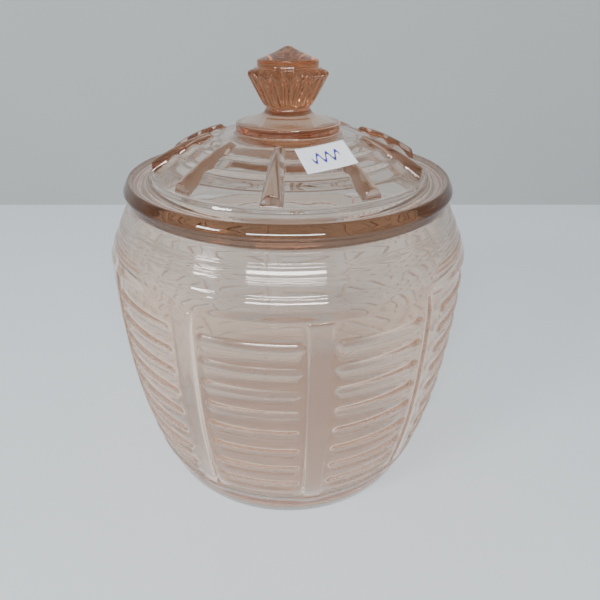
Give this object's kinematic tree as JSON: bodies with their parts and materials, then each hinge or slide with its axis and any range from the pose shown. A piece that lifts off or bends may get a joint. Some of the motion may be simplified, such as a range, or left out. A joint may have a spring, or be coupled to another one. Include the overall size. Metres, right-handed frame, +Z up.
{
  "type": "covered glass candy jar",
  "caption": "Round pressed pink glass candy jar with flat upright bars and level ribs, a loose domed lid with a fluted knob, and a small paper price label.",
  "frame": {"origin": "centre of the foot, on the surface that the jar stands on", "axes": "+Z up along the axis that the jar and lid are turned about; -Y is the front, where the price label sits just to the right"},
  "size_m": [0.1542, 0.1546, 0.1815],
  "materials": {
    "pale_pink_glass": "gloss",
    "peach_glass": "gloss",
    "label_paper": "matte"
  },
  "bodies": {
    "jar": {"jar": "pale_pink_glass"},
    "lid": {"lid": "peach_glass", "price_label": "label_paper"}
  },
  "joints": [
    {"name": "lid_lift", "type": "slide", "parent": "jar", "child": "lid", "axis": [0, 0, 1], "range_m": [0, 0.1]}
  ]
}
